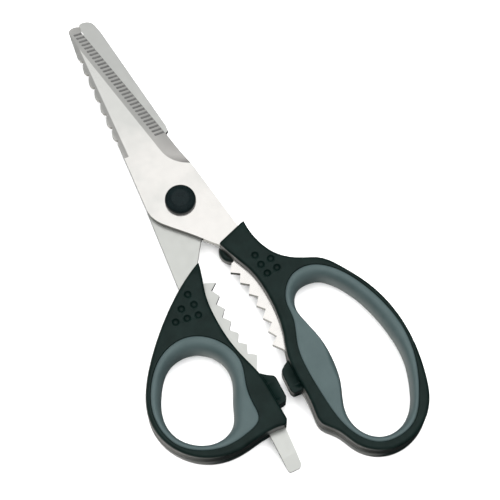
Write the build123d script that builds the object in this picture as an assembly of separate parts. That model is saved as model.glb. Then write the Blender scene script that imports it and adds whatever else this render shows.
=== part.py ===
from build123d import *
import os

# Multi-purpose kitchen shears, in millimetres.
# The pivot axis is the Z axis. The shears lie on the plane Z = 0, and the blade tips point along +Y.
# The thumb half (rear blade, left handle) is fixed, and the finger half (front blade, right handle) turns on it.

# ---- driving dimensions ----
handle_thickness = 13.0  # both handles, from the resting plane up
mid_plane = handle_thickness / 2  # middle of the gap between the blades
blade_thickness = 2.4
blade_gap = 0.2  # slip gap between the two blades
bevel_wheel_radius = 46.0  # hollow grind of the two cutting edges
bevel_wheel_height = 42.5  # axis of the grinding wheel over the blade's face
bevel_run_out = 32.0  # rounding of the wheel's end, towards the heel
scaler_wheel_radius = 14.0  # hollow grind along the scaler teeth
scaler_wheel_height = 12.7
scaler_run_out = 1.0

pivot_radius = 3.0  # shoulder of the pivot bolt
pivot_clearance = 0.05  # running fit of the front blade on the shoulder
bolt_flats = 5.0  # keyed part of the shoulder, in the rear blade
bolt_head_radius = 5.8
spanner_hole_radius = 0.8
spanner_hole_x = 3.4
nut_across_flats = 6.6
nut_crown_radius = 3.7
nut_height = 1.9
stub_radius = 2.0  # threaded end of the bolt
stub_height = 2.6
cap_radius = 6.15
cap_height = 3.5
cap_cavity_height = 2.7
cap_gap = 0.1  # running gap between the front blade and the cap or the spring washer
spring_washer_radius = 3.6
spring_washer_thickness = 0.3
bearing_washer_radius = 9.0
bearing_washer_thickness = 0.15

groove_count = 31  # micro-serrations on the front blade
groove_first_y = 85.4
groove_pitch = 1.84
groove_radius = 0.55
groove_depth = 0.22
groove_first_length = 3.1
groove_growth = 0.025  # each groove is this much longer than the one before

scale_tooth_count = 6  # fish-scaler teeth on the spine
scale_tooth_pitch = 6.36

jaw_tooth_count = 7  # nutcracker teeth on each tang
jaw_radius = 62.0
jaw_tooth_depth = 2.5
jaw_half_angle = 15.6  # degrees, from the middle of the jaw to its first and last tooth tip
jaw_middle_y = -52.6
finger_jaw_x = 5.1  # tooth tip in the middle of the finger half's jaw
thumb_jaw_x = -6.1

driver_tip_slope = 14.0  # degrees, of the bevel ground into the driver tip
driver_bevel_y = -109.6  # start of that bevel

edge_round = 1.4  # rounding round the handles' outer edges
liner_inset = 0.5  # the soft liners stand this far below the handles' faces
liner_round = 2.0
rib_height = 1.2  # snap ribs that key each liner into the shells
rib_depth = 0.5
dimple_radius = 1.4
dimple_depth = 0.7
pin_radius = 1.2
pin_clearance = 0.02
pin_end_gap = 2.0  # plastic left over the ends of the pins
shoulder_bottom = 1.0
lug_bottom = 3.2
lug_top = handle_thickness - lug_bottom

beyond = 30.0  # length of a cutter that has to pass the material

rear_top = mid_plane - blade_gap / 2
rear_bottom = rear_top - blade_thickness
front_bottom = mid_plane + blade_gap / 2
front_top = front_bottom + blade_thickness

# ---- lines that both blades share, in plan, for the front blade ----
edge_tip = (-0.3, 85.7)
edge_bend = (8.8, 29.5)
heel = (11.5, 10.4)
bevel_start = (-6.6, 92.0)  # inner boundary of the hollow bevel, past the tip
bevel_end = (7.75, -9.1)

# ---- places on the handles ----
thumb_dimples = [(-16.5, -37.0), (-16.3, -41.7), (-21.4, -41.0), (-16.8, -46.3), (-21.2, -45.4), (-25.8, -44.6)]
finger_dimples = [(13.9, -35.5), (14.1, -39.9), (14.5, -44.2), (18.6, -39.6), (18.9, -44.0)]
thumb_pin_places = [(-12.5, -36.0), (-13.8, -50.0), (-11.3, -83.0), (-11.6, -94.0)]
finger_pin_places = [(11.0, -27.5), (12.6, -47.5), (12.4, -56.0), (6.7, -87.0)]


def plate(outline, bottom, top):
    """A flat plate between two heights, from the closed outline's edges."""
    return extrude(Plane.XY.offset(bottom) * make_face(outline), amount=top - bottom)


def smooth_loop(points):
    """A closed smooth curve through the points, as two edges."""
    loop = Spline(*points, periodic=True)
    return [loop.trim(0, 0.5), loop.trim(0.5, 1)]


def grown(points, amount):
    """The same closed run of points, each moved outwards square to the run."""
    moved = []
    for before, point, after in zip([points[-1]] + points[:-1], points, points[1:] + [points[0]]):
        along = (Vector(*after) - Vector(*before)).normalized()
        moved.append(Vector(*point) + Vector(along.Y, -along.X) * amount)
    return moved


def jaw_line(side):
    """Tooth tips and valleys of one nutcracker jaw from top to bottom, on an arc that bows away from the gap.

    side is +1 for the jaw on the right of the gap and -1 for the one on its left.
    """
    bow = finger_jaw_x if side > 0 else -thumb_jaw_x
    steps = 2 * (jaw_tooth_count - 1)
    points = []
    for step in range(steps + 1):
        spoke = Vector(jaw_radius, 0).rotate(Axis.Z, jaw_half_angle * (1 - 2 * step / steps))
        inset = 0 if step % 2 == 0 else jaw_tooth_depth
        reach = (jaw_radius + inset) / jaw_radius
        points.append((side * (spoke.X * reach - jaw_radius + bow), jaw_middle_y + spoke.Y * reach))
    return points


def scaler_edge(start):
    """Hooked scallops of the fish scaler, running down the spine from the first valley."""
    profile = [(1.05, 0.55), (2.4, 1.2), (4.0, 1.5), (5.1, 1.3), (5.9, 0.7)]
    down = Vector(-0.097, -0.9953)
    out = Vector(-0.9953, 0.097)
    edges = []
    for tooth in range(scale_tooth_count):
        valley = Vector(*start) + down * (tooth * scale_tooth_pitch)
        points = [valley + down * s + out * h for s, h in profile]
        edges.append(Spline(valley, *points, valley + down * scale_tooth_pitch))
    return edges


def wheel_reach(radius, height):
    """Half the width that a wheel cuts in a flat face."""
    return (radius**2 - height**2) ** 0.5


def wheel_depth(radius, height, inset):
    """Depth under the flat face that a wheel leaves at that distance inside its cut."""
    return (radius**2 - (wheel_reach(radius, height) - inset) ** 2) ** 0.5 - height


def grinding_wheel(near, far, radius, height, run_out, surface, sign):
    """A wheel that grinds a hollow bevel into a flat face.

    The bevel's inner boundary runs from near to far in plan, and the wheel lies to the right of that line (left
    for a sign of -1) with its axis at that height over the surface. run_out rounds the wheel's end at far.
    """
    start = Vector(*near)
    along = Vector(*far) - start
    length = along.length
    direction = along.normalized()
    right = Vector(direction.Y, -direction.X) * sign
    reach = wheel_reach(radius, height)
    centre = start + right * reach + Vector(0, 0, surface + height)
    profile = Polyline((0, 0), (length, 0), (length, radius - run_out))
    profile += ThreePointArc(
        (length, radius - run_out),
        (length - run_out * (1 - 0.5**0.5), radius - run_out * (1 - 0.5**0.5)),
        (length - run_out, radius),
    )
    profile += Polyline((length - run_out, radius), (0, radius), (0, 0))
    wheel = revolve(make_face(profile), axis=Axis.X)
    return Plane(origin=centre, x_dir=direction, z_dir=(0, 0, 1)) * wheel


# ---- blades ----
def bevel_wheel(surface):
    """The wheel that hollow-grinds the cutting edge."""
    return grinding_wheel(bevel_start, bevel_end, bevel_wheel_radius, bevel_wheel_height, bevel_run_out, surface, -1)


def scaler_wheel():
    """The wheel that hollow-grinds the spine along the scaler teeth."""
    near = (-9.15, 26.5)
    far = (-3.6, 92.0)
    return grinding_wheel(near, far, scaler_wheel_radius, scaler_wheel_height, scaler_run_out, front_top, -1)


def mirrored(point):
    return (-point[0], point[1])


def between(start, end, y):
    """X of the line through two points in plan, at that Y."""
    return start[0] + (end[0] - start[0]) * (y - start[1]) / (end[1] - start[1])


def groove_cutter(number):
    """Round-ended rod for one micro-serration, from inside the bevel out past the edge."""
    y = groove_first_y - number * groove_pitch
    length = groove_first_length + groove_growth * number
    edge_x = between(edge_tip, edge_bend, y)
    inset = edge_x - between(bevel_start, bevel_end, y)
    lift = front_top - groove_depth + groove_radius
    at_edge = lift - wheel_depth(bevel_wheel_radius, bevel_wheel_height, inset)
    inner = Vector(edge_x - length, y, lift - wheel_depth(bevel_wheel_radius, bevel_wheel_height, inset - length))
    outwards = Vector(edge_x, y, at_edge) - inner
    rod = Pos(0, 0, length) * Cylinder(groove_radius, 2 * length)
    return Plane(origin=inner, z_dir=outwards) * (rod + Sphere(groove_radius))


def front_blade():
    """Serrated upper blade: hollow-ground cutting edge, fish-scaler spine, and a toothed tang."""
    jaw = jaw_line(1)
    first_valley = (-5.75, 73.0)
    last_valley = Vector(*first_valley) + Vector(-0.097, -0.9953) * (scale_tooth_count * scale_tooth_pitch)
    spine_step = (-10.35, 33.9)
    shoulder = (-13.6, 2.6)
    root = (4.4, -23.5)
    tang_edge = (15.2, -25.0)
    tang_end = (8.6, -80.4)
    tang_corner = (7.6, -75.6)
    outline = [
        ThreePointArc((-5.0, 87.9), (-2.4, 89.15), (0.3, 88.5)),
        Polyline((0.3, 88.5), edge_tip, edge_bend, heel, tang_edge),
        Spline(tang_edge, (14.8, -40.0), (14.3, -56.0), (12.6, -66.0), (9.6, -76.0), tang_end),
        ThreePointArc(tang_end, (7.5, -81.5), (6.6, -80.4)),
        Polyline((6.6, -80.4), tang_corner, jaw[-1]),
        Polyline(*reversed(jaw)),
        Polyline(jaw[0], (4.9, -32.9), (7.0, -32.2), (6.4, -26.0), root),
        Spline(root, (-0.7, -17.2), (-9.6, -6.7), shoulder, tangents=[(-0.7, 0.7), (-0.05, 1.0)]),
        Polyline(shoulder, spine_step, last_valley),
        *scaler_edge(first_valley),
        Spline(first_valley, (-6.35, 73.6), (-6.85, 74.9), (-6.85, 76.4)),
        Line((-6.85, 76.4), (-5.0, 87.9)),
    ]
    blade = plate(outline, front_bottom, front_top)
    blade -= bevel_wheel(front_top)
    blade -= scaler_wheel()
    blade -= [groove_cutter(number) for number in range(groove_count)]
    blade -= Pos(0, 0, front_bottom) * Cylinder(pivot_radius + pivot_clearance, beyond)
    for x, y in finger_pin_places:
        blade -= Pos(x, y, front_bottom) * Cylinder(pin_radius + pin_clearance, beyond)
    return blade


def rear_blade():
    """Plain lower blade: stepped spine, toothed tang, and a flat driver tip past the end of the handle."""
    jaw = jaw_line(-1)
    tip = (-0.3, 88.6)
    spine_top = (6.9, 82.4)
    spine_end = (10.6, 32.4)
    shoulder = (11.5, 3.0)
    tang_root = (-6.4, -25.6)
    driver_left = (-15.6, -113.9)
    driver_right = (-9.8, -113.4)
    outline = [
        Spline(tip, (1.35, 90.0), (2.8, 89.9), (5.2, 88.6), (6.45, 85.4), spine_top),
        Line(spine_top, spine_end),
        Polyline(spine_end, (10.3, 30.2), (8.5, 29.2), (10.9, 12.0), shoulder),
        Spline(shoulder, (7.6, -8.5), (-0.3, -17.6), tang_root, tangents=[(0.0, -1.0), (-0.6, -0.8)]),
        Polyline(tang_root, (-8.8, -30.0), (-9.0, -33.6), jaw[0]),
        Polyline(*jaw),
        Polyline(jaw[-1], (-6.2, -73.2), (-8.6, -77.5), (-8.6, -90.0), (-8.4, -99.0), driver_right),
        ThreePointArc(driver_right, (-10.4, -114.9), (-11.8, -115.4)),
        Line((-11.8, -115.4), (-14.4, -115.2)),
        ThreePointArc((-14.4, -115.2), (-15.3, -114.8), driver_left),
        Line(driver_left, (-15.0, -98.0)),
        Spline((-15.0, -98.0), (-14.7, -88.0), (-13.2, -78.0), (-11.2, -72.5), (-10.8, -69.0), (-12.4, -62.0)),
        Spline((-12.4, -62.0), (-16.0, -56.0), (-18.6, -49.0), (-18.9, -40.0), (-17.7, -31.7)),
        Polyline((-17.7, -31.7), (-13.45, 2.9), mirrored(heel), mirrored(edge_bend), mirrored(edge_tip), tip),
    ]
    blade = plate(outline, rear_bottom, rear_top)
    blade -= Pos(0, 0, rear_bottom) * Rot(0, 180, 0) * bevel_wheel(0)
    waste = Box(beyond, beyond, beyond, align=(Align.CENTER, Align.MAX, Align.MIN))
    blade -= Pos(driver_left[0], driver_bevel_y, rear_top) * Rot(driver_tip_slope, 0, 0) * waste
    flats = Box(beyond, bolt_flats + 2 * pin_clearance, beyond)
    bolt_hole = Cylinder(pivot_radius + pin_clearance, beyond) & flats
    blade -= Pos(0, 0, rear_bottom) * bolt_hole
    for x, y in thumb_pin_places:
        blade -= Pos(x, y, rear_bottom) * Cylinder(pin_radius + pin_clearance, beyond)
    return blade


# ---- handle outlines ----
def thumb_outline():
    """Outer edge of the thumb handle, from its pointed front round the loop and back."""
    point = (-6.5, -27.0)
    corner_left = (-9.4, -99.5)
    corner_right = (-7.0, -97.2)
    return [
        Spline(
            point, (-18.4, -33.4), (-30.0, -42.2), (-40.0, -51.9), (-47.8, -61.8), (-52.1, -71.5), (-52.3, -80.5),
            (-47.9, -90.3), (-38.8, -97.7), (-28.0, -99.9), (-17.0, -98.9), corner_left,
        ),
        ThreePointArc(corner_left, (-7.6, -98.9), corner_right),
        Spline(
            corner_right, (-7.0, -86.0), (-7.6, -77.0), (-9.6, -69.0), (-11.2, -60.0), (-11.5, -50.0),
            (-10.3, -40.0), (-7.6, -31.5), point,
        ),
    ]


def thumb_lug():
    """Closing stop on the inner side of the thumb handle."""
    return [Polyline((-8.6, -75.5), (-5.3, -78.6), (-2.7, -80.4), (-2.4, -81.5), (-2.7, -89.8), (-3.6, -91.3),
                     (-8.6, -91.9), close=True)]


def thumb_liner_points():
    return [
        (-28.5, -51.5), (-38.0, -54.4), (-45.9, -62.4), (-49.9, -71.0), (-50.5, -79.0), (-47.6, -87.4),
        (-40.9, -93.3), (-32.0, -96.3), (-22.5, -95.7), (-16.4, -93.0), (-15.4, -87.0), (-14.0, -78.6),
        (-11.6, -71.0), (-12.8, -63.0), (-20.3, -53.9),
    ]


def thumb_hole_points():
    return [
        (-29.9, -56.7), (-37.0, -58.6), (-43.2, -65.4), (-47.3, -74.5), (-46.8, -82.6), (-41.5, -89.6),
        (-33.6, -92.6), (-25.5, -89.6), (-21.9, -82.9), (-17.6, -74.2), (-17.4, -66.5), (-21.6, -59.9),
    ]


def finger_outline():
    """Outer edge of the finger handle, from its square front round the long loop and back."""
    inner_corner = (4.2, -24.1)
    outer_corner = (17.2, -20.3)
    return [
        Line(inner_corner, outer_corner),
        Spline(
            outer_corner, (17.5, -28.0), (22.7, -39.6), (30.0, -45.0), (35.6, -48.1), (41.2, -55.4), (46.9, -66.8),
            (50.2, -80.0), (50.3, -94.0), (47.4, -108.3), (42.9, -118.4), (35.0, -125.2), (26.0, -127.5),
            (17.0, -125.2), (10.8, -119.0), (6.8, -110.6), (3.3, -105.6), (3.5, -100.0), (4.3, -91.0),
            (4.4, -84.0), (5.2, -76.5), (8.2, -67.8), (10.2, -58.0), (10.6, -49.0), (9.7, -40.5), (7.2, -33.2),
            inner_corner,
        ),
    ]


def finger_lug():
    """Closing stop on the inner side of the finger handle."""
    return [Polyline((6.6, -75.5), (4.6, -77.7), (2.2, -79.0), (0.8, -80.0), (0.3, -81.4), (-0.2, -88.8), (0.4, -90.2),
                     (6.6, -90.8), close=True)]


def finger_shoulder():
    """Rounded shoulder of the rear shell that backs the root of the tang."""
    return [Spline((4.6, -23.4), (3.2, -25.6), (3.3, -28.6), (5.8, -31.6), (8.6, -33.0)),
            Polyline((8.6, -33.0), (8.6, -23.4), (4.6, -23.4))]


def finger_liner_points():
    return [
        (26.3, -48.5), (18.8, -51.8), (15.0, -58.5), (14.3, -64.5), (10.6, -74.5), (8.9, -86.0),
        (9.0, -97.0), (10.0, -108.0), (12.8, -116.2), (18.5, -122.4), (26.2, -124.2), (33.5, -122.3),
        (41.0, -114.0), (46.8, -102.0), (49.2, -89.0), (48.0, -77.0), (43.6, -63.6), (36.5, -52.9),
    ]


def finger_hole_points():
    return [
        (26.3, -53.5), (20.8, -55.4), (17.9, -60.7), (18.3, -67.8), (20.1, -77.0), (20.1, -87.0),
        (18.3, -94.8), (14.6, -103.6), (13.8, -109.0), (15.8, -115.8), (21.3, -120.6), (28.2, -121.0),
        (34.5, -117.6), (40.6, -108.4), (44.0, -98.0), (44.2, -85.0), (42.1, -73.0), (37.1, -61.0),
        (32.0, -55.1),
    ]


# ---- handles ----
def liner_rib(points, low):
    """One snap rib right round a liner, from its lower height."""
    return plate(smooth_loop(grown(points, rib_depth)), low, low + rib_height)


def rib_heights():
    rear = 2.2
    return [rear, handle_thickness - rear - rib_height]


def handle_body(outline, lug):
    """Solid outer shape of a whole handle, both shells together, with its closing stop."""
    body = plate(outline, 0, handle_thickness)
    rims = body.faces().filter_by(Plane.XY)
    edges = [edge for rim in rims for edge in rim.outer_wire().edges()]
    body = fillet(edges, edge_round)
    stop = plate(lug, lug_bottom, lug_top)
    return body + stop


def dimples(places):
    """Grip dimples on both faces."""
    ball_radius = (dimple_radius**2 + dimple_depth**2) / (2 * dimple_depth)
    lift = ball_radius - dimple_depth
    balls = []
    for x, y in places:
        balls.append(Pos(x, y, handle_thickness + lift) * Sphere(ball_radius))
        balls.append(Pos(x, y, -lift) * Sphere(ball_radius))
    return balls


def pins(places):
    """Steel pins that pass through the tang into both shells."""
    length = handle_thickness - 2 * pin_end_gap
    return [Pos(x, y, mid_plane) * Cylinder(pin_radius, length) for x, y in places]


def pin_holes(places):
    length = handle_thickness - 2 * pin_end_gap
    return [Pos(x, y, mid_plane) * Cylinder(pin_radius + pin_clearance, length) for x, y in places]


def hollowed_body(outline, lug, liner, places, pin_places):
    """A handle's outer shape with the seats for its liner, pins and dimples."""
    body = handle_body(outline, lug)
    body -= plate(smooth_loop(liner), -1, handle_thickness + 1)
    for height in rib_heights():
        body -= liner_rib(liner, height)
    for ball in dimples(places):
        body -= ball
    for hole in pin_holes(pin_places):
        body -= hole
    return body


def half(body, tang, parting, front):
    """The front or rear shell of a handle, split at that height, with the tang's recess."""
    above = Align.MIN if front else Align.MAX
    keep = Pos(0, 0, parting) * Box(10 * beyond, 10 * beyond, beyond, align=(Align.CENTER, Align.CENTER, above))
    return (body & keep) - tang


def liner(points, hole):
    """Soft ring inside a loop, rolled over at the hole's edges, with its snap ribs."""
    opening = plate(smooth_loop(hole), -1, handle_thickness + 1)
    ring = plate(smooth_loop(points), liner_inset, handle_thickness - liner_inset) - opening
    mouths = ring.faces().filter_by(Plane.XY)
    edges = [edge for mouth in mouths for wire in mouth.inner_wires() for edge in wire.edges()]
    ring = fillet(edges, liner_round)
    for height in rib_heights():
        ring += liner_rib(points, height) - opening
    return ring


# ---- pivot ----
def pivot_bolt():
    """Flat-headed shoulder bolt. Its head is flush with the resting plane, and its flats key into the rear blade."""
    head = Pos(0, 0, rear_bottom / 2) * Cylinder(bolt_head_radius, rear_bottom)
    head = chamfer(head.edges().filter_by(GeomType.CIRCLE).sort_by(Axis.Z)[0], 0.5)
    for x in (-spanner_hole_x, spanner_hole_x):
        head -= Pos(x, 0, 0) * Cylinder(spanner_hole_radius, 4 * spanner_hole_radius)
    keyed = Cylinder(pivot_radius, blade_thickness) & Box(beyond, bolt_flats, beyond)
    shoulder_height = front_top - rear_top
    bolt = head + Pos(0, 0, rear_bottom + blade_thickness / 2) * keyed
    bolt += Pos(0, 0, rear_top + shoulder_height / 2) * Cylinder(pivot_radius, shoulder_height)
    bolt += Pos(0, 0, front_top + stub_height / 2) * Cylinder(stub_radius, stub_height)
    return bolt


def bearing_washer():
    """Thin slip washer between the blades, round the shoulder."""
    thickness = bearing_washer_thickness
    washer = Cylinder(bearing_washer_radius, thickness) - Cylinder(pivot_radius + pivot_clearance, thickness)
    return Pos(0, 0, rear_top + thickness / 2) * washer


def wave_washer():
    """Spring washer under the nut, pressed flat."""
    thickness = spring_washer_thickness
    washer = Cylinder(spring_washer_radius, thickness) - Cylinder(stub_radius + pivot_clearance, thickness)
    return Pos(0, 0, front_top + cap_gap + thickness / 2) * washer


def pivot_nut():
    """Hexagon nut on the end of the bolt."""
    blank = extrude(RegularPolygon(nut_across_flats / 2, 6, major_radius=False), amount=nut_height)
    crown = Pos(0, 0, nut_height / 2) * Cylinder(nut_crown_radius, nut_height)
    nut = (blank & crown) - Pos(0, 0, nut_height / 2) * Cylinder(stub_radius + pin_clearance, 2 * nut_height)
    return Pos(0, 0, front_top + cap_gap + spring_washer_thickness) * nut


def pivot_cap():
    """Domed cap that is pressed on to the nut's corners."""
    base = front_top + cap_gap
    top = base + cap_height
    profile = Polyline((0, base), (cap_radius, base), (cap_radius, base + 0.7))
    profile += Spline((cap_radius, base + 0.7), (5.6, base + 2.3), (4.0, top - 0.25), (0, top),
                      tangents=[(0, 1), (-1, 0)])
    profile += Line((0, top), (0, base))
    cap = revolve(make_face(Plane.XZ * profile), axis=Axis.Z)
    return cap - Pos(0, 0, base + cap_cavity_height / 2) * Cylinder(nut_crown_radius, cap_cavity_height)


# ---- assembly ----
def build_nodes():
    front = front_blade()
    rear = rear_blade()
    thumb = hollowed_body(thumb_outline(), thumb_lug(), thumb_liner_points(), thumb_dimples, thumb_pin_places)
    finger = hollowed_body(finger_outline(), finger_lug(), finger_liner_points(), finger_dimples, finger_pin_places)
    shoulder = plate(finger_shoulder(), shoulder_bottom, front_bottom)
    return {
        "front_blade": front,
        "rear_blade": rear,
        "thumb_front_shell": half(thumb, rear, rear_top, True),
        "thumb_rear_shell": half(thumb, rear, rear_top, False),
        "thumb_liner": liner(thumb_liner_points(), thumb_hole_points()),
        "thumb_handle_pins": Compound(children=pins(thumb_pin_places)),
        "finger_front_shell": half(finger, front, front_bottom, True),
        "finger_rear_shell": half(finger + shoulder, front, front_bottom, False),
        "finger_liner": liner(finger_liner_points(), finger_hole_points()),
        "finger_handle_pins": Compound(children=pins(finger_pin_places)),
        "pivot_bolt": pivot_bolt(),
        "pivot_nut": pivot_nut(),
        "wave_washer": wave_washer(),
        "bearing_washer": bearing_washer(),
        "pivot_cap": pivot_cap(),
    }


os.makedirs("parts", exist_ok=True)
for name, shape in build_nodes().items():
    export_step(shape, f"parts/{name}.step")
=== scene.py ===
import math

import bmesh
import bpy
import numpy as np
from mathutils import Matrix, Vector
from mathutils.geometry import convex_hull_2d, delaunay_2d_cdt


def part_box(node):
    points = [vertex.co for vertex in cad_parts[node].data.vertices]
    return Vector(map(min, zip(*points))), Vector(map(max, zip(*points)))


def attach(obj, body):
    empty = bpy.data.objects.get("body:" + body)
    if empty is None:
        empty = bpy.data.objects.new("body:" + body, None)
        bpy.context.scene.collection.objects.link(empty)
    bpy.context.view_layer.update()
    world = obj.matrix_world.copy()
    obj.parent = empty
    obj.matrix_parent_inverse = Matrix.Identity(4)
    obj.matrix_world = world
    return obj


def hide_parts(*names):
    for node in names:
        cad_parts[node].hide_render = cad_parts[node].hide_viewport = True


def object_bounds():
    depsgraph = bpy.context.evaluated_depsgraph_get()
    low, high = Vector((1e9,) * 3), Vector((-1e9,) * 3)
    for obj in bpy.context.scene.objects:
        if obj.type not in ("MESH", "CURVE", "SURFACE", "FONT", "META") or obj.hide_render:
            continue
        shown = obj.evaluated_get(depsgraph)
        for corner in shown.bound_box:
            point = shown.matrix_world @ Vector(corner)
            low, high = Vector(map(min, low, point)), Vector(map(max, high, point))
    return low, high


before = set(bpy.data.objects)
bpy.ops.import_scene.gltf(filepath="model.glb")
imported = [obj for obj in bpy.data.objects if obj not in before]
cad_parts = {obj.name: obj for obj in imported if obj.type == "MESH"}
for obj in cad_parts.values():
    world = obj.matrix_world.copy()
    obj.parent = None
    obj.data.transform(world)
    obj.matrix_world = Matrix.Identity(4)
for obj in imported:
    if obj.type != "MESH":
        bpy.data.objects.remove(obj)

# Kitchen shears. The handles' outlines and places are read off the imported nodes, in metres, and the pieces made
# here follow them. +Z is up, +Y points along the blades, and the pivot axis is the Z axis.

CAD_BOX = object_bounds()
MM = 0.001

# ---- driving sizes, in metres ----
HANDLE_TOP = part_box("thumb_front_shell")[1].z
EDGE_ROUND = 1.4 * MM  # rounding of the handles' outer edges, as the shells have it
LIP_ROUND = 0.3 * MM  # small rounding where a shell meets its liner
PARTING_GROOVE = 0.12 * MM  # depth of the hairline between two shells
SHARP_ANGLE = 40  # degrees between faces, above which an edge stays sharp

OUTLINE_STEP = 0.45 * MM  # spacing of points along the outlines
LUG_STEP = 0.25 * MM
LOBE_STEP = 0.3 * MM
CORNER_SOFTNESS = 0.4 * MM  # how far corners of the outlines are blurred
SMALL_SOFTNESS = 0.3 * MM  # the same for lugs and liner boundaries
INSET_STRIDE = 0.1 * MM

LUG_BOTTOM = 3.2 * MM
LUG_TOP = HANDLE_TOP - LUG_BOTTOM
LUG_ROUND = 0.45 * MM
LUG_ROOT = 1.6 * MM  # how far a lug reaches into its handle
LOBE_BOTTOM = 1.0 * MM
LOBE_ROUND = 1.6 * MM
LOBE_ROOT = 3.5 * MM
TOUCHING = 0.35 * MM  # points nearer than this to the handle's wall touch it

DIMPLE_DEPTH = 1.2 * MM
DIMPLE_POINTS = 28
# (share of the radius, share of the depth) of the bowl-shaped grip dimples, from the softened rim inwards
DIMPLE_PROFILE = (
    (1.1, 0.0), (1.03, 0.05), (0.97, 0.22), (0.87, 0.48),
    (0.72, 0.7), (0.5, 0.88), (0.25, 0.98), (0.06, 1.0),
)

GRIP_POINTS = 260  # round each ring of a liner
GRIP_SEAM = 0.04 * MM  # hairline gap between liner and shell
GRIP_SINK = 0.05 * MM  # how far the liners lie below the handles' faces
GRIP_ROLL = 4.6 * MM  # roll of the soft liners into their holes
GRIP_ROLL_LEAST = 2.2 * MM
GRIP_ROLL_SHARE = 0.72  # largest share of the liner's width
GRIP_SWELL = 9.5 * MM  # a liner wider than this has a narrower roll and more flat
GRIP_WALL = 1.0 * MM  # height of the first ring above the middle plane
# (mm from the rim, largest share of the flat part, drop in mm) along the softened edge beside the shell
GRIP_EDGE = (
    (0, 0, 0.45), (0.12, 0.1, 0.36), (0.35, 0.25, 0.24), (0.8, 0.45, 0.1), (1.3, 0.65, 0.03), (2.2, 0.85, 0),
)

# The micro-serrations, at the same places along the same edge as in the part's source, for the painted shade in
# them
GROOVE_COUNT = 31
GROOVE_FIRST = 85.4 * MM  # Y of the one nearest the tip
GROOVE_PITCH = 1.84 * MM
GROOVE_LENGTH = 3.5 * MM  # of the first one's painted shade, a little longer than the cut groove
GROOVE_GROWTH = 0.025 * MM  # each one is this much longer than the one before
EDGE_TIP = (-0.3 * MM, 85.7 * MM)  # X and Y of the ends of the straight cutting edge
EDGE_BEND = (8.8 * MM, 29.5 * MM)
BLADE_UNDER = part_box("front_blade")[0].z


# ---- reading outlines off the frame ----
IN_PLANE = 2e-6  # how far from a plane a point still counts as in it
KEY_SCALE = 1e7  # points are matched by their coordinates in tenths of a micrometre


def mesh_points(node):
    """The node's mesh, its points and a key for each point."""
    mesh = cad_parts[node].data
    points = np.array([v.co for v in mesh.vertices])
    return mesh, points, np.round(points * KEY_SCALE).astype(int)


def sides_of(polygon):
    """Pairs of neighbouring corners."""
    corners = list(polygon.vertices)
    return zip(corners, corners[1:] + corners[:1])


def loops_at(node, height):
    """Closed loops of the node's mesh edges that lie in the plane at that height, the longest first."""
    mesh, points, keys = mesh_points(node)
    keys = [tuple(key[:2]) for key in keys]
    flat = np.abs(points[:, 2] - height) < IN_PLANE
    level = {}
    for polygon in mesh.polygons:
        for a, b in sides_of(polygon):
            if flat[a] and flat[b] and keys[a] != keys[b]:
                level.setdefault(frozenset((keys[a], keys[b])), []).append(abs(polygon.normal.z) > 0.999)
    links = {}
    for edge, faces in level.items():
        if sum(faces) == 2:  # an edge inside a flat face
            continue
        a, b = tuple(edge)
        links.setdefault(a, []).append(b)
        links.setdefault(b, []).append(a)
    loops = []
    unused = {key for key, near in links.items() if len(near) == 2}
    while unused:
        start = min(unused)
        loop = [start]
        unused.discard(start)
        here = links[start][0]
        while here in unused:
            loop.append(here)
            unused.discard(here)
            here = next((k for k in links[here] if k in unused), start)
        if len(loop) > 5:
            loops.append(np.array(loop) / KEY_SCALE)
    return sorted(loops, key=lambda p: -length_of(p))


def section(node, height):
    """Closed loops where the node's mesh crosses the plane at that height, the longest first."""
    mesh, points, keys = mesh_points(node)
    keys = [tuple(key) for key in keys]
    links, places = {}, {}
    for polygon in mesh.polygons:
        crossings = []
        for a, b in sides_of(polygon):
            above, below = points[a, 2] - height, points[b, 2] - height
            if above * below < 0:
                edge = frozenset((keys[a], keys[b]))
                places[edge] = points[a, :2] + (points[b, :2] - points[a, :2]) * above / (above - below)
                crossings.append(edge)
        if len(crossings) == 2:
            links.setdefault(crossings[0], []).append(crossings[1])
            links.setdefault(crossings[1], []).append(crossings[0])
    loops = []
    unused = set(links)
    while unused:
        here = min(unused, key=lambda edge: tuple(places[edge]))
        loop = []
        while here is not None:
            loop.append(places[here])
            unused.discard(here)
            here = next((k for k in links[here] if k in unused), None)
        loops.append(np.array(loop))
    return sorted(loops, key=lambda p: -length_of(p))


# ---- working on outlines ----
def length_of(loop):
    return np.linalg.norm(np.roll(loop, -1, 0) - loop, axis=1).sum()


def area_of(loop):
    x, y = loop.T
    return 0.5 * np.sum(x * np.roll(y, -1) - np.roll(x, -1) * y)


def gaps(points, others):
    """Distance from each of the points to each of the others."""
    return np.linalg.norm(points[:, None] - others[None], axis=2)


def even(loop, step=OUTLINE_STEP, count=None):
    """The loop at even spacing, counter-clockwise."""
    if area_of(loop) < 0:
        loop = loop[::-1]
    closed = np.vstack([loop, loop[:1]])
    along = np.concatenate([[0], np.cumsum(np.linalg.norm(np.diff(closed, axis=0), axis=1))])
    count = count or int(round(along[-1] / step))
    where = np.arange(count) * along[-1] / count
    return np.column_stack([np.interp(where, along, closed[:, k]) for k in (0, 1)])


def blurred(values, steps):
    """Periodic Gaussian blur of rows, with a standard deviation in rows."""
    reach = int(4 * steps) + 1
    offsets = np.arange(-reach, reach + 1)
    weights = np.exp(-0.5 * (offsets / steps) ** 2)
    weights /= weights.sum()
    return sum(w * np.roll(values, o, 0) for o, w in zip(offsets, weights))


def softened(loop, softness=CORNER_SOFTNESS, step=OUTLINE_STEP):
    """The loop at even spacing, with its corners softened."""
    return even(blurred(even(loop, step), softness / step), step)


def outwards(loop):
    """Unit vectors out of a counter-clockwise loop."""
    along = np.roll(loop, -1, 0) - np.roll(loop, 1, 0)
    along /= np.linalg.norm(along, axis=1)[:, None]
    return np.column_stack([along[:, 1], -along[:, 0]])


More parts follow.
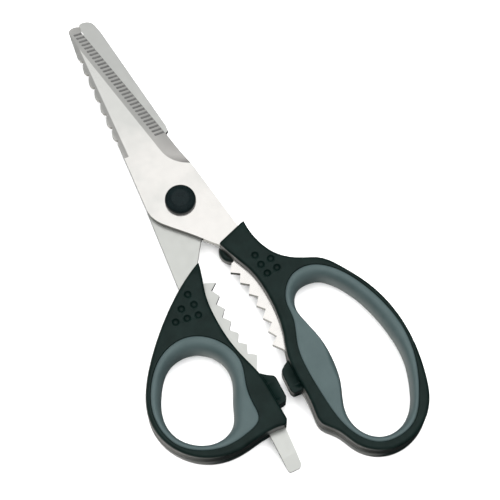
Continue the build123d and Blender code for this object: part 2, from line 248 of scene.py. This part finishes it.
def inset(loop, distances, share=1.0):
    """The loop moved inwards by each of the rising distances, in small strides.

    Points that come closer together than usual are smoothed more strongly, in full at half their usual spacing.
    """
    light_blur, strong_blur = 0.75, 3.5
    close, half = 0.85, 0.5
    usual = length_of(loop) / len(loop)
    rings, done = [], 0.0
    for distance in distances:
        while done < distance - 1e-9:
            move = min(INSET_STRIDE, distance - done)
            loop = blurred(loop - outwards(loop) * move * share, light_blur)
            spacing = np.linalg.norm(np.roll(loop, -1, 0) - np.roll(loop, 1, 0), axis=1) / 2 / usual
            bunched = blurred(np.clip((close - spacing) / (close - half), 0, 1), 2)[:, None]
            loop = loop * (1 - bunched) + blurred(loop, strong_blur) * bunched
            done += move
        rings.append(loop)
    return rings


def contains(loop, point):
    """Whether a point is inside a closed loop."""
    x, y = loop.T
    x2, y2 = np.roll(x, -1), np.roll(y, -1)
    crosses = (y > point[1]) != (y2 > point[1])
    with np.errstate(divide="ignore", invalid="ignore"):
        at = x + (point[1] - y) * (x2 - x) / (y2 - y)
    return bool(np.sum(crosses & (point[0] < at)) % 2)


def quarter(radius, steps):
    """(inset, rise) pairs round a quarter circle, from the wall to the face."""
    turns = np.radians(np.linspace(0, 90, steps + 1))
    return [(radius * (1 - math.cos(turn)), radius * math.sin(turn)) for turn in turns]


# ---- mesh building ----
def ring(bm, loop, height):
    """Points of the loop at one height, or at a height for each."""
    heights = np.broadcast_to(height, len(loop))
    return [bm.verts.new((x, y, z)) for (x, y), z in zip(loop, heights)]


def bridge(bm, rings):
    """Quads between each ring and the next."""
    for lower, upper in zip(rings, rings[1:]):
        count = len(lower)
        for i in range(count):
            j = (i + 1) % count
            bm.faces.new((lower[i], lower[j], upper[j], upper[i]))


def fill(bm, outer, holes):
    """A flat face between an outer ring and its holes, as triangles."""
    verts, edges = [], []
    for part in (outer, *holes):
        start = len(verts)
        verts += part
        edges += [(start + i, start + (i + 1) % len(part)) for i in range(len(part))]
    points = [Vector(v.co.xy) for v in verts]
    where, _, triangles, origins, _, _ = delaunay_2d_cdt(points, edges, [], 0, 1e-9, True)
    rim, *inside = [np.array([v.co.xy for v in part]) for part in (outer, *holes)]
    for triangle in triangles:
        centre = sum((Vector(where[i]) for i in triangle), Vector((0, 0))) / 3
        if contains(rim, centre) and not any(contains(loop, centre) for loop in inside):
            bm.faces.new([verts[origins[i][0]] for i in triangle])


def piece(name, bm, material, sharp_angle=SHARP_ANGLE):
    """A finished object from a bmesh, with outward normals and smooth shading."""
    bmesh.ops.recalc_face_normals(bm, faces=bm.faces)
    mesh = bpy.data.meshes.new(name)
    bm.to_mesh(mesh)
    bm.free()
    obj = bpy.data.objects.new(name, mesh)
    bpy.context.scene.collection.objects.link(obj)
    mesh.materials.append(material)
    mesh.polygons.foreach_set("use_smooth", [True] * len(mesh.polygons))
    mesh.set_sharp_from_angle(angle=math.radians(sharp_angle))
    weigh = obj.modifiers.new("weighted normals", "WEIGHTED_NORMAL")
    weigh.keep_sharp = True
    weigh.weight = 80
    return obj


def apply_modifiers(obj):
    """Gives the object the mesh that its modifiers make."""
    depsgraph = bpy.context.evaluated_depsgraph_get()
    mesh = bpy.data.meshes.new_from_object(obj.evaluated_get(depsgraph))
    old = obj.data
    obj.modifiers.clear()
    obj.data = mesh
    bpy.data.meshes.remove(old)


def plate(name, loop, low, high, material, round_low=0.0, round_high=0.0):
    """A closed plate inside a loop, with its upper or lower edge rounded."""
    bm = bmesh.new()
    rings = []
    for radius, height, side in ((round_low, low, -1), (round_high, high, 1)):
        level = [(loop, height)]
        if radius:
            ins, rises = zip(*quarter(radius, 5))
            moved = inset(loop, ins)
            level = [(edge, height - side * (radius - rise)) for edge, rise in zip(moved, rises)]
        rings += [ring(bm, edge, z) for edge, z in level[::side]]
    bridge(bm, rings)
    fill(bm, rings[0], [])
    fill(bm, rings[-1], [])
    return piece(name, bm, material)


def unite(obj, others):
    """Joins closed pieces into one closed mesh."""
    for other in others:
        join = obj.modifiers.new("union", "BOOLEAN")
        join.operation = "UNION"
        join.solver = "EXACT"
        join.object = other
    obj.modifiers.move(0, len(obj.modifiers) - 1)  # the weighted normals come last
    apply_modifiers(obj)
    for other in others:
        bpy.data.objects.remove(other)
    obj.data.set_sharp_from_angle(angle=math.radians(SHARP_ANGLE))


# ---- handles ----
def shell(bm, loop, boundary, dimples, parting, face):
    """One shell of a handle between its parting plane and its face, round the liner's boundary."""
    side = 1 if face > parting else -1
    groove = inset(loop, [PARTING_GROOVE])[0]
    walls = [ring(bm, groove, parting), ring(bm, loop, parting + side * PARTING_GROOVE)]
    web = gaps(loop, boundary).min(1)  # a thin web between wall and liner gets a smaller rounding
    share = blurred(np.minimum(1, (web - 1.5 * LIP_ROUND) / EDGE_ROUND), 2)[:, None]
    ins, rises = zip(*quarter(EDGE_ROUND, 7))
    rounded = inset(loop, ins, share)
    for moved, rise in zip(rounded, rises):
        walls.append(ring(bm, moved, face - side * (EDGE_ROUND - rise)))
    bridge(bm, walls)
    gap = gaps(boundary, rounded[-1]).min(1)
    out = outwards(boundary) * np.minimum(1, 0.6 * gap / LIP_ROUND)[:, None]
    lips = []
    for step, rise in reversed(quarter(LIP_ROUND, 3)):
        lips.append(ring(bm, boundary + out * step, face - side * (LIP_ROUND - rise)))
    lips.append(ring(bm, boundary, parting))
    bridge(bm, lips)
    rims = [dimple(bm, centre, radius, face, side) for centre, radius in dimples]
    fill(bm, walls[-1], [lips[0], *rims])
    fill(bm, walls[0], [lips[-1]])


def dimple(bm, centre, radius, face, side):
    """A round bowl with a softened rim. Returns its rim."""
    turns = np.arange(DIMPLE_POINTS) * 2 * math.pi / DIMPLE_POINTS
    circle = np.column_stack([np.cos(turns), np.sin(turns)]) * radius
    rings = []
    for out, down in DIMPLE_PROFILE:
        rings.append(ring(bm, centre + circle * out, face - side * DIMPLE_DEPTH * down))
    bridge(bm, rings)
    bm.faces.new(rings[-1])
    return rings[0]


def dimples_of(node, face):
    """(centre, radius) of each grip dimple in a shell's face, whose first two loops are its own edges."""
    found = []
    for loop in loops_at(node, face)[2:]:
        centre = loop.mean(0)
        found.append((centre, np.linalg.norm(loop - centre, axis=1).mean()))
    return found


def rooted(loop, wall, depth):
    """The loop with the points that touch the handle's wall pushed into the handle."""
    apart = gaps(loop, wall)
    touching = apart.min(1) < TOUCHING
    moved = loop.copy()
    moved[touching] -= outwards(wall)[apart.argmin(1)[touching]] * depth
    return moved


def shoulder_lobe(loop, parting, material):
    """Rounded shoulder of the finger handle's rear shell, behind the root of the tang."""
    lobe = rooted(loops_at("finger_rear_shell", LOBE_BOTTOM)[0], loop, LOBE_ROOT)
    lobe = softened(lobe[convex_hull_2d([tuple(p) for p in lobe])], step=LOBE_STEP)
    return plate("lobe", lobe, LOBE_BOTTOM, parting, material, LOBE_ROUND, LOBE_ROUND)


def handle(name, material, shoulder=None):
    """Both shells of a handle. shoulder makes a further plate for the rear shell."""
    front_node, rear_node = f"{name}_front_shell", f"{name}_rear_shell"
    parting, high = (corner.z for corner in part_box(front_node))
    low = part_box(rear_node)[0].z
    outline, boundary, *_ = section(front_node, high - 1.05 * EDGE_ROUND)
    outline, boundary = softened(outline), softened(boundary, SMALL_SOFTNESS)
    lug = rooted(softened(loops_at(front_node, LUG_TOP)[0], SMALL_SOFTNESS, LUG_STEP), outline, LUG_ROOT)
    for node, face in ((front_node, high), (rear_node, low)):
        bm = bmesh.new()
        shell(bm, outline, boundary, dimples_of(node, face), parting, face)
        obj = piece(node.replace(name, f"{name}_handle"), bm, material)
        if node == front_node:
            plates = [plate("lug", lug, parting, LUG_TOP, material, round_high=LUG_ROUND)]
        else:
            plates = [plate("lug", lug, LUG_BOTTOM, parting, material, round_low=LUG_ROUND)]
            if shoulder:
                plates.append(shoulder(outline, parting, material))
        unite(obj, plates)
        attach(obj, f"{name}_half")
        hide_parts(node)


# ---- soft liners ----
def matched(boundary, hole):
    """The hole's points, and the boundary's points on the same spokes from the hole's middle."""
    centre = hole.mean(0)
    hole = even(blurred(even(hole), 2), count=GRIP_POINTS)
    spokes = np.arctan2(*(hole - centre).T[::-1])
    dense = even(boundary, 0.1 * MM)
    turns = np.unwrap(np.arctan2(*(dense - centre).T[::-1]))
    order = np.argsort(np.mod(turns, 2 * math.pi))
    angles, places = np.mod(turns, 2 * math.pi)[order], dense[order]
    want = np.mod(spokes, 2 * math.pi)
    rim = np.column_stack([np.interp(want, angles, places[:, k], period=2 * math.pi) for k in (0, 1)])
    return rim, hole


def liner(name, material):
    """A soft ring that lies level with the handle's faces and rolls over into its hole."""
    node = f"{name}_liner"
    low, high = (corner.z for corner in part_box(node))
    middle = (low + high) / 2
    top = HANDLE_TOP - GRIP_SINK
    rim, hole = matched(*section(node, middle))
    rim = rim + (hole - rim) * (GRIP_SEAM / np.linalg.norm(hole - rim, axis=1))[:, None]
    width = np.linalg.norm(hole - rim, axis=1)
    roll = np.clip(GRIP_ROLL + GRIP_SWELL - width, GRIP_ROLL_LEAST, GRIP_ROLL)
    roll = blurred(np.minimum(roll, GRIP_ROLL_SHARE * width), 3)
    profile = [(np.zeros(len(rim)), middle + GRIP_WALL)]
    for inwards, share, drop in GRIP_EDGE:
        reach = np.minimum(inwards * MM, share * (width - roll))
        profile.append((reach / width, top - drop * MM))
    for turn in np.radians(np.linspace(0, 90, 11)):
        reach = 1 - roll / width * (1 - math.sin(turn))
        profile.append((reach, top - (top - middle) * (1 - math.cos(turn))))
    profile += [(reach, 2 * middle - height) for reach, height in reversed(profile[:-1])]
    bm = bmesh.new()
    rings = [ring(bm, rim + (hole - rim) * reach[:, None], height) for reach, height in profile]
    bridge(bm, rings + rings[:1])
    obj = piece(f"{name}_grip", bm, material, sharp_angle=60)
    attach(obj, f"{name}_half")
    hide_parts(node)


# ---- shader nodes ----
NOISE_LOW, NOISE_HIGH = 0.3, 0.7  # the range that most of a noise texture's values lie in


def new_material(name):
    """A material, its node tree and its shader."""
    material = bpy.data.materials.new(name)
    material.use_nodes = True
    return material, material.node_tree, material.node_tree.nodes["Principled BSDF"]


def coordinates(tree, kind="Object"):
    return tree.nodes.new("ShaderNodeTexCoord").outputs[kind]


def stretched(tree, vector, scale):
    """The coordinates scaled along each axis."""
    mapping = tree.nodes.new("ShaderNodeMapping")
    mapping.inputs["Scale"].default_value = scale
    tree.links.new(vector, mapping.inputs["Vector"])
    return mapping.outputs["Vector"]


def axes(tree, vector):
    """X, Y and Z of a vector."""
    split = tree.nodes.new("ShaderNodeSeparateXYZ")
    tree.links.new(vector, split.inputs["Vector"])
    return [split.outputs[axis] for axis in "XYZ"]


def noise(tree, vector, scale, detail, rough=0.5):
    texture = tree.nodes.new("ShaderNodeTexNoise")
    texture.inputs["Scale"].default_value = scale
    texture.inputs["Detail"].default_value = detail
    texture.inputs["Roughness"].default_value = rough
    tree.links.new(vector, texture.inputs["Vector"])
    return texture.outputs["Fac"]


def maths(tree, operation, *values):
    """A Math node on links or plain numbers."""
    node = tree.nodes.new("ShaderNodeMath")
    node.operation = operation
    for socket, value in zip(node.inputs, values):
        if isinstance(value, (int, float)):
            socket.default_value = value
        else:
            tree.links.new(value, socket)
    return node.outputs["Value"]


def spread(tree, value, low, high, near=NOISE_LOW, far=NOISE_HIGH):
    """Maps near..far to low..high, and holds the ends."""
    mapping = tree.nodes.new("ShaderNodeMapRange")
    mapping.inputs["From Min"].default_value = near
    mapping.inputs["From Max"].default_value = far
    mapping.inputs["To Min"].default_value = low
    mapping.inputs["To Max"].default_value = high
    tree.links.new(value, mapping.inputs["Value"])
    return mapping.outputs["Result"]


def ramp(tree, value, stops):
    """A colour ramp from (position, colour) stops."""
    node = tree.nodes.new("ShaderNodeValToRGB")
    elements = node.color_ramp.elements
    for position, _ in stops[1:-1]:
        elements.new(position)
    for element, (position, colour) in zip(elements, stops):
        element.position = position
        element.color = (*colour, 1)
    tree.links.new(value, node.inputs["Fac"])
    return node.outputs["Color"]


def colours(tree, value, dark, light):
    """A noise's values as colours between dark and light."""
    return ramp(tree, value, ((NOISE_LOW, dark), (NOISE_HIGH, light)))


def blend(tree, share, first, second):
    """Mixes two colours, which are the Mix node's sockets 6 and 7."""
    mix = tree.nodes.new("ShaderNodeMix")
    mix.data_type = "RGBA"
    tree.links.new(share, mix.inputs["Factor"])
    tree.links.new(first, mix.inputs[6])
    tree.links.new(second, mix.inputs[7])
    return mix.outputs[2]


def bump(tree, value, strength, distance):
    node = tree.nodes.new("ShaderNodeBump")
    node.inputs["Strength"].default_value = strength
    node.inputs["Distance"].default_value = distance
    tree.links.new(value, node.inputs["Height"])
    return node.outputs["Normal"]


def finish_with(tree, shader, colour, roughness, normal=None):
    """Links a surface's colour, roughness and relief to its shader."""
    tree.links.new(colour, shader.inputs["Base Color"])
    tree.links.new(roughness, shader.inputs["Roughness"])
    if normal is not None:
        tree.links.new(normal, shader.inputs["Normal"])


# ---- materials ----
def handle_plastic():
    """Satin moulded plastic, greenish black, with a fine spark-eroded grain and slight mottling."""
    material, tree, shader = new_material("moulded black plastic")
    place = coordinates(tree)
    mottle = noise(tree, place, 190, 4, 0.6)
    finish_with(
        tree,
        shader,
        colours(tree, mottle, (0.0007, 0.004, 0.0033), (0.0025, 0.0075, 0.0065)),
        spread(tree, mottle, 0.3, 0.42),
        bump(tree, noise(tree, place, 2600, 2), 0.25, 0.04 * MM),
    )
    shader.inputs["Specular IOR Level"].default_value = 0.2
    return material


def grip_rubber():
    """Soft-touch slate grey rubber."""
    material, tree, shader = new_material("soft grip rubber")
    place = coordinates(tree)
    cloud = noise(tree, place, 120, 4, 0.6)
    finish_with(
        tree,
        shader,
        colours(tree, cloud, (0.033, 0.05, 0.051), (0.042, 0.061, 0.062)),
        spread(tree, cloud, 0.5, 0.62),
        bump(tree, noise(tree, place, 3200, 2), 0.3, 0.04 * MM),
    )
    shader.inputs["Specular IOR Level"].default_value = 0.3
    return material


def steel(name, dark, light, smooth, rough, edge=(0.035, 0.035, 0.032), shade_grooves=False):
    """Ground steel: faint fine lines, smears and handling marks, and painted shade on the upright sides, in the
    colour edge.
    """
    material, tree, shader = new_material(name)
    place = coordinates(tree)
    strokes = noise(tree, stretched(tree, place, (40, 1500, 40)), 1.6, 3)
    cloud = noise(tree, place, 300, 4, 0.6)
    _, y, _ = axes(tree, place)
    darker_to_tip = spread(tree, y, 0.25, -0.25, -10 * MM, 60 * MM)  # lighter near the pivot, darker towards the tip
    face = colours(tree, maths(tree, "ADD", noise(tree, place, 55, 3), darker_to_tip), dark, light)
    if shade_grooves:
        # painted shade: the micro-serrations are darker than the face around them
        painted_groove_shade = colours(tree, cloud, (0.4, 0.4, 0.39), (0.5, 0.5, 0.49))
        face = blend(tree, groove_shade_mask(tree), face, painted_groove_shade)
    # painted shade: the steel's upright sides take the dark edge colour in place of the face colour
    painted_side_shade = colours(tree, cloud, edge, tuple(2.2 * c for c in edge))
    finish_with(
        tree,
        shader,
        blend(tree, side_shade_mask(tree), face, painted_side_shade),
        spread(tree, cloud, smooth, rough),
        bump(tree, strokes, 0.08, 0.02 * MM),
    )
    shader.inputs["Metallic"].default_value = 1.0
    return material


def groove_shade_mask(tree):
    """1 inside the front blade's micro-serrations, where painted shade darkens them: rows square to the blade,
    from the edge inwards.
    """
    x, y, z = axes(tree, coordinates(tree))
    number = maths(tree, "MULTIPLY", maths(tree, "SUBTRACT", GROOVE_FIRST, y), 1 / GROOVE_PITCH)
    from_middle = maths(tree, "PINGPONG", number, 0.5)  # in pitches, from the middle of the nearest groove
    slope = (EDGE_BEND[0] - EDGE_TIP[0]) / (EDGE_BEND[1] - EDGE_TIP[1])
    edge = maths(tree, "MULTIPLY_ADD", y, slope, EDGE_TIP[0] - slope * EDGE_TIP[1])
    length = maths(tree, "MULTIPLY_ADD", number, GROOVE_GROWTH, GROOVE_LENGTH)
    inside_end = maths(tree, "ADD", maths(tree, "SUBTRACT", x, edge), length)
    mask = spread(tree, from_middle, 1.0, 0.0, 0.19, 0.27)
    for part in (
        spread(tree, inside_end, 0.0, 1.0, -0.1 * MM, 0.25 * MM),
        spread(tree, number, 0.0, 1.0, -0.4, -0.35),
        spread(tree, number, 1.0, 0.0, GROOVE_COUNT - 0.65, GROOVE_COUNT - 0.6),
        spread(tree, z, 0.0, 1.0, BLADE_UNDER + 0.05 * MM, BLADE_UNDER + 0.1 * MM),
    ):
        mask = maths(tree, "MULTIPLY", mask, part)
    return mask


def side_shade_mask(tree):
    """1 where a surface stands upright and 0 where it lies flat, from the object's own normals; it places the
    painted shade on the steel's upright sides.
    """
    _, _, up = axes(tree, coordinates(tree, "Normal"))
    return spread(tree, maths(tree, "ABSOLUTE", up), 1.0, 0.0, 0.35, 0.7)


def cap_plastic():
    """Smooth black plastic of the pivot cap."""
    material, tree, shader = new_material("glossy cap")
    place = coordinates(tree)
    cloud = noise(tree, place, 400, 3)
    finish_with(
        tree,
        shader,
        colours(tree, cloud, (0.001, 0.0035, 0.004), (0.002, 0.0055, 0.006)),
        spread(tree, cloud, 0.24, 0.34),
        bump(tree, noise(tree, place, 1500, 2), 0.1, 0.03 * MM),
    )
    shader.inputs["Specular IOR Level"].default_value = 0.2
    return material


def washer_plastic():
    """White acetal of the slip washer."""
    material, tree, shader = new_material("acetal")
    cloud = noise(tree, coordinates(tree), 300, 3)
    colour = colours(tree, cloud, (0.7, 0.7, 0.66), (0.8, 0.8, 0.77))
    finish_with(tree, shader, colour, spread(tree, cloud, 0.35, 0.5))
    return material


def repaint(node, material):
    """Gives a node of the frame a material of its own."""
    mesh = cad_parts[node].data
    mesh.materials.clear()
    mesh.materials.append(material)


# ---- stage ----
# (sine of the elevation, grey) of the sky that the steel and plastic reflect
SKY = ((0.0, 0.04), (0.3, 0.2), (0.5, 0.58), (0.62, 0.48), (0.76, 0.34), (0.88, 0.86), (0.95, 1.05))
GLOW = (2.4, 2.36, 2.24)  # bright patch low on the left, for the strips of light on the plastic's left walls

# (name, place, watts)
LAMPS = (
    ("key", (0.45, 0.1, 0.7), 5.0),
    ("left fill", (-0.5, 0.1, 0.6), 4.0),
    ("far fill", (0.0, 0.6, 0.6), 4.0),
    ("near fill", (0.1, -0.6, 0.7), 5.0),
    ("overhead", (0.0, 0.0, 0.9), 4.0),
)


def sky():
    """Greys by elevation, from dark at the horizon to white overhead, and the glow below the horizon."""
    world = bpy.data.worlds.new("studio")
    bpy.context.scene.world = world
    world.use_nodes = True
    tree = world.node_tree
    x, _, z = axes(tree, coordinates(tree, "Generated"))
    grey = ramp(tree, z, [(height, (level,) * 3) for height, level in SKY])
    below = spread(tree, z, 1.0, 0.0, -0.3, -0.1)
    left = spread(tree, x, 1.0, 0.0, -0.3, -0.22)
    white = tree.nodes.new("ShaderNodeRGB")
    white.outputs[0].default_value = (*GLOW, 1)
    colour = blend(tree, maths(tree, "MULTIPLY", below, left), grey, white.outputs[0])
    tree.links.new(colour, tree.nodes["Background"].inputs["Color"])


def lamps():
    """Soft round lamps that point at the pivot and don't show in reflections."""
    for name, place, watts in LAMPS:
        lamp = bpy.data.lights.new(name, "AREA")
        lamp.shape = "DISK"
        lamp.size = 0.7
        lamp.energy = watts
        obj = bpy.data.objects.new(name, lamp)
        obj.location = place
        obj.rotation_euler = (-obj.location).to_track_quat("-Z", "Y").to_euler()
        obj.visible_glossy = False
        bpy.context.scene.collection.objects.link(obj)


def floor():
    """Pale floor under the shears, which doesn't show in reflections."""
    material, tree, shader = new_material("pale floor")
    cloud = noise(tree, coordinates(tree), 6, 2)
    tree.links.new(colours(tree, cloud, (0.9, 0.9, 0.9), (0.92, 0.92, 0.92)), shader.inputs["Base Color"])
    shader.inputs["Roughness"].default_value = 0.9
    shader.inputs["Specular IOR Level"].default_value = 0.1
    bm = bmesh.new()
    bmesh.ops.create_grid(bm, x_segments=8, y_segments=8, size=2.0)
    bmesh.ops.translate(bm, verts=bm.verts, vec=(0, 0, CAD_BOX[0][2]))
    mesh = bpy.data.meshes.new("floor")
    bm.to_mesh(mesh)
    bm.free()
    mesh.materials.append(material)
    obj = bpy.data.objects.new("floor", mesh)
    bpy.context.scene.collection.objects.link(obj)
    obj.visible_glossy = False


def camera():
    """A long lens over the handles, from the lower left."""
    azimuth, elevation = math.radians(-29), math.radians(70)
    distance = 0.653
    aside = Vector((15.36, -11.96, 0)) * MM  # from the middle of the shears to the middle of the picture
    target = (Vector(CAD_BOX[0]) + Vector(CAD_BOX[1])) / 2 + aside
    target.z = HANDLE_TOP / 2
    back = Vector((
        math.sin(azimuth) * math.cos(elevation),
        -math.cos(azimuth) * math.cos(elevation),
        math.sin(elevation),
    ))
    data = bpy.data.cameras.new("camera")
    data.lens = 120
    data.sensor_width = 36
    data.clip_start = 0.01
    obj = bpy.data.objects.new("camera", data)
    obj.location = target + back * distance
    obj.rotation_euler = back.to_track_quat("Z", "Y").to_euler()
    bpy.context.scene.collection.objects.link(obj)
    bpy.context.scene.camera = obj


# ---- the shears ----
black = handle_plastic()
grey = grip_rubber()
handle("thumb", black)
handle("finger", black, shoulder_lobe)
liner("thumb", grey)
liner("finger", grey)

polished = steel("polished blade", (0.8, 0.805, 0.775), (0.97, 0.95, 0.915), 0.16, 0.24, shade_grooves=True)
satin = steel("satin blade", (0.68, 0.69, 0.665), (0.75, 0.765, 0.73), 0.28, 0.36)
turned = steel("turned steel", (0.45, 0.45, 0.45), (0.6, 0.6, 0.6), 0.25, 0.4, edge=(0.25, 0.25, 0.24))
repaint("front_blade", polished)
repaint("rear_blade", satin)
for node in ("pivot_bolt", "pivot_nut", "wave_washer", "thumb_handle_pins", "finger_handle_pins"):
    repaint(node, turned)
repaint("bearing_washer", washer_plastic())
repaint("pivot_cap", cap_plastic())

bpy.context.scene.view_settings.view_transform = "Standard"
sky()
lamps()
floor()
camera()
